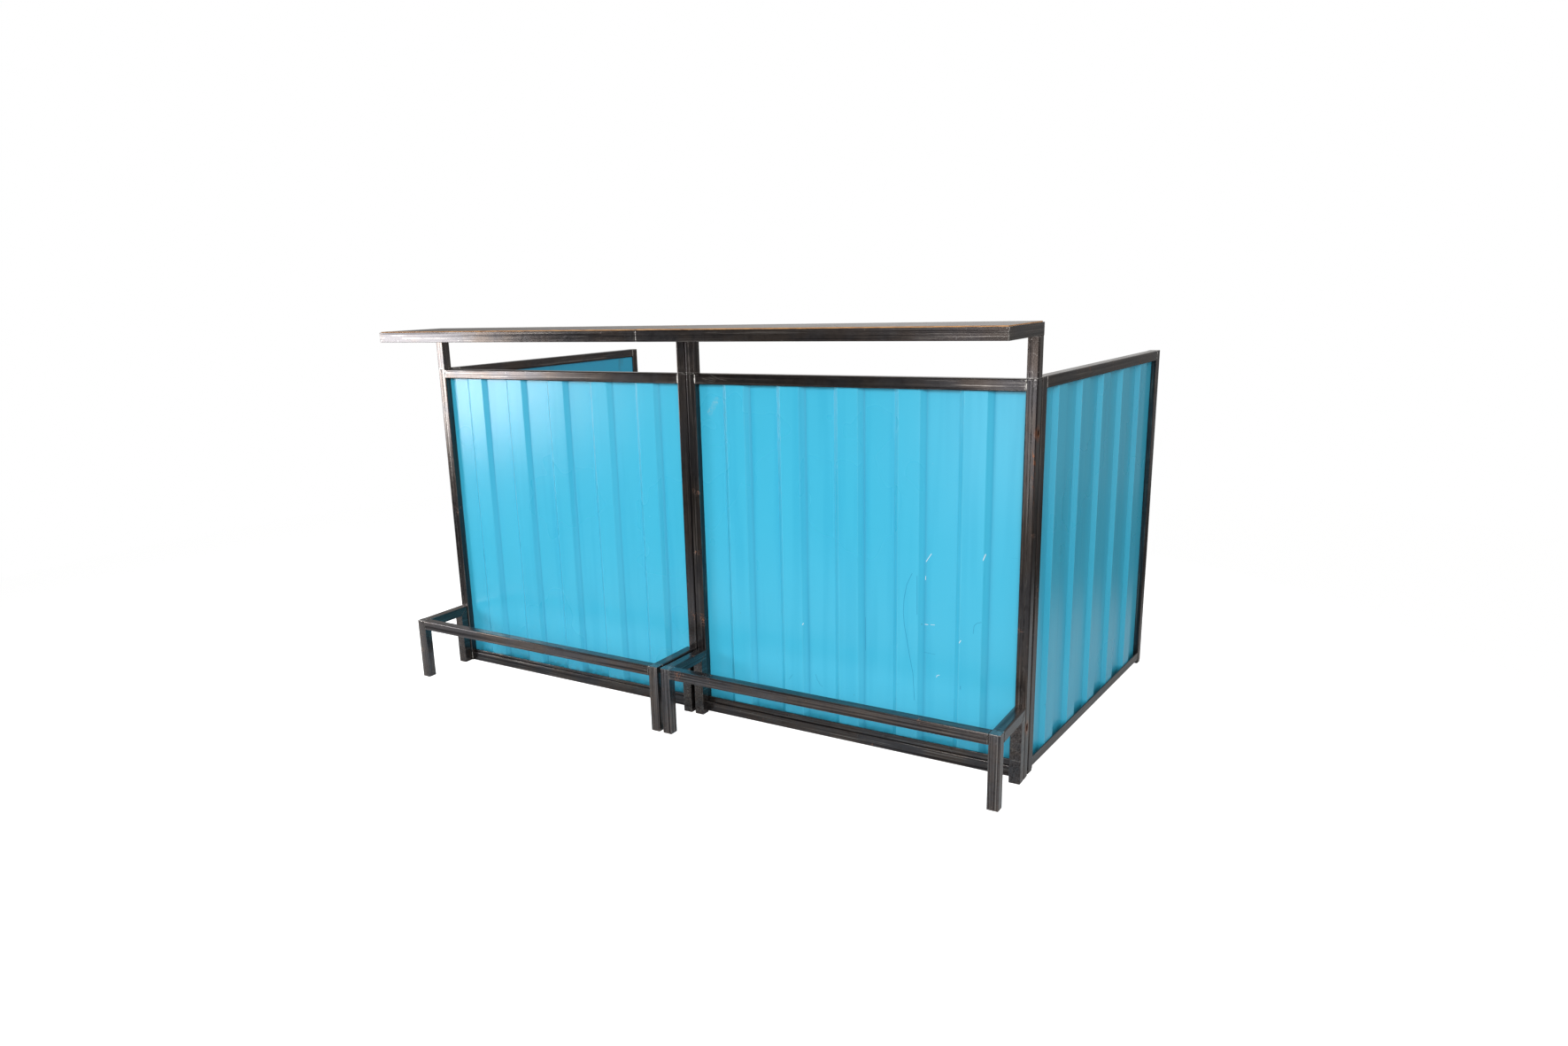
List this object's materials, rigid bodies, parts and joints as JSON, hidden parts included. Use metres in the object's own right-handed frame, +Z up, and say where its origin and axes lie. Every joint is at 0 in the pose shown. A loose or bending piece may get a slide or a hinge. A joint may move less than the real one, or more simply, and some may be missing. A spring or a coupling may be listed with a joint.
{
  "type": "bar counter",
  "caption": "Modular U-shaped bar counter: square steel tube frames with blue ribbed steel sheets, narrow overhanging tops, low foot frames and side wings.",
  "frame": {"origin": "on the floor, under the middle of the counter's box", "axes": "+X along the front to the customer's right, +Y from the customer to the staff side, +Z up"},
  "size_m": [2.0772, 1.2674, 1.15],
  "materials": {
    "tube_steel": "dark mill scale, worn at the edges, clear coated",
    "angle_steel": "dark mill scale, worn at the edges, clear coated",
    "foot_steel": "dark mill scale, rubbed bright by shoes",
    "blue_sheet": "sky-blue satin paint",
    "blue_lining": "blue satin paint",
    "brown_board": "smooth brown film-faced board with an oiled edge",
    "black_plastic": "matte black",
    "bolt_steel": "zinc plated, dulled"
  },
  "bodies": {
    "root": {"left_outer_post": "tube_steel", "left_inner_post": "tube_steel", "left_top_rail": "tube_steel", "left_bottom_rail": "tube_steel", "left_ribbed_sheet": "blue_sheet", "left_sheet_ledge": "tube_steel", "left_inner_lining": "blue_lining", "left_outer_stub": "tube_steel", "left_inner_stub": "tube_steel", "left_top_front_angle": "angle_steel", "left_top_back_angle": "angle_steel", "left_top_outer_angle": "angle_steel", "left_top_inner_angle": "angle_steel", "left_top_board": "brown_board", "left_foot_front_bar": "foot_steel", "left_foot_outer_front_leg": "foot_steel", "left_foot_inner_front_leg": "foot_steel", "left_foot_outer_side": "foot_steel", "left_foot_inner_side": "foot_steel", "right_outer_post": "tube_steel", "right_inner_post": "tube_steel", "right_top_rail": "tube_steel", "right_bottom_rail": "tube_steel", "right_ribbed_sheet": "blue_sheet", "right_sheet_ledge": "tube_steel", "right_inner_lining": "blue_lining", "right_outer_stub": "tube_steel", "right_inner_stub": "tube_steel", "right_top_front_angle": "angle_steel", "right_top_back_angle": "angle_steel", "right_top_outer_angle": "angle_steel", "right_top_inner_angle": "angle_steel", "right_top_board": "brown_board", "right_foot_front_bar": "foot_steel", "right_foot_outer_front_leg": "foot_steel", "right_foot_inner_front_leg": "foot_steel", "right_foot_outer_side": "foot_steel", "right_foot_inner_side": "foot_steel", "left_wing_near_post": "tube_steel", "left_wing_far_post": "tube_steel", "left_wing_top_rail": "tube_steel", "left_wing_bottom_angle": "tube_steel", "left_wing_ribbed_sheet": "blue_sheet", "left_wing_inner_lining": "blue_lining", "left_wing_near_pad": "black_plastic", "left_wing_far_pad": "black_plastic", "left_wing_bolt_low": "bolt_steel", "left_wing_bolt_high": "bolt_steel", "right_wing_near_post": "tube_steel", "right_wing_far_post": "tube_steel", "right_wing_top_rail": "tube_steel", "right_wing_bottom_angle": "tube_steel", "right_wing_ribbed_sheet": "blue_sheet", "right_wing_inner_lining": "blue_lining", "right_wing_near_pad": "black_plastic", "right_wing_far_pad": "black_plastic", "right_wing_bolt_low": "bolt_steel", "right_wing_bolt_high": "bolt_steel", "joint_bolt_low": "bolt_steel", "joint_bolt_high": "bolt_steel"}
  },
  "joints": []
}
